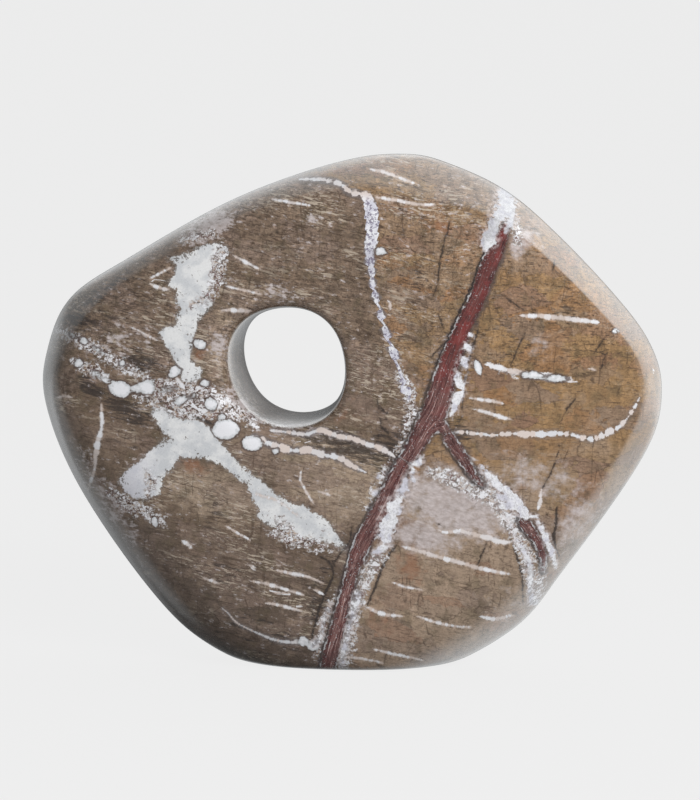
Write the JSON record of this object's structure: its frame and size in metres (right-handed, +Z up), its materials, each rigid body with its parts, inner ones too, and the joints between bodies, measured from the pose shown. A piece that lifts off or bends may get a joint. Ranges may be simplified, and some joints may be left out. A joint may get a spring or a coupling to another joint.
{
  "type": "free-standing fossil marble stone",
  "caption": "Free-standing polished stone slab with a domed front and back, ground bevels round its rim, an off-centre hole right through it and a flat foot.",
  "frame": {"origin": "on the surface the stone stands on, under the middle of its bounding box", "axes": "+Z up, +X to the right along the slab's width seen from the front, +Y from the front face to the back, along the axis of the hole"},
  "size_m": [0.3008, 0.094, 0.2488],
  "materials": {
    "polished_marble": "polished brown fossil marble with red, white and grey veins"
  },
  "bodies": {
    "root": {"stone": "polished_marble"}
  },
  "joints": []
}
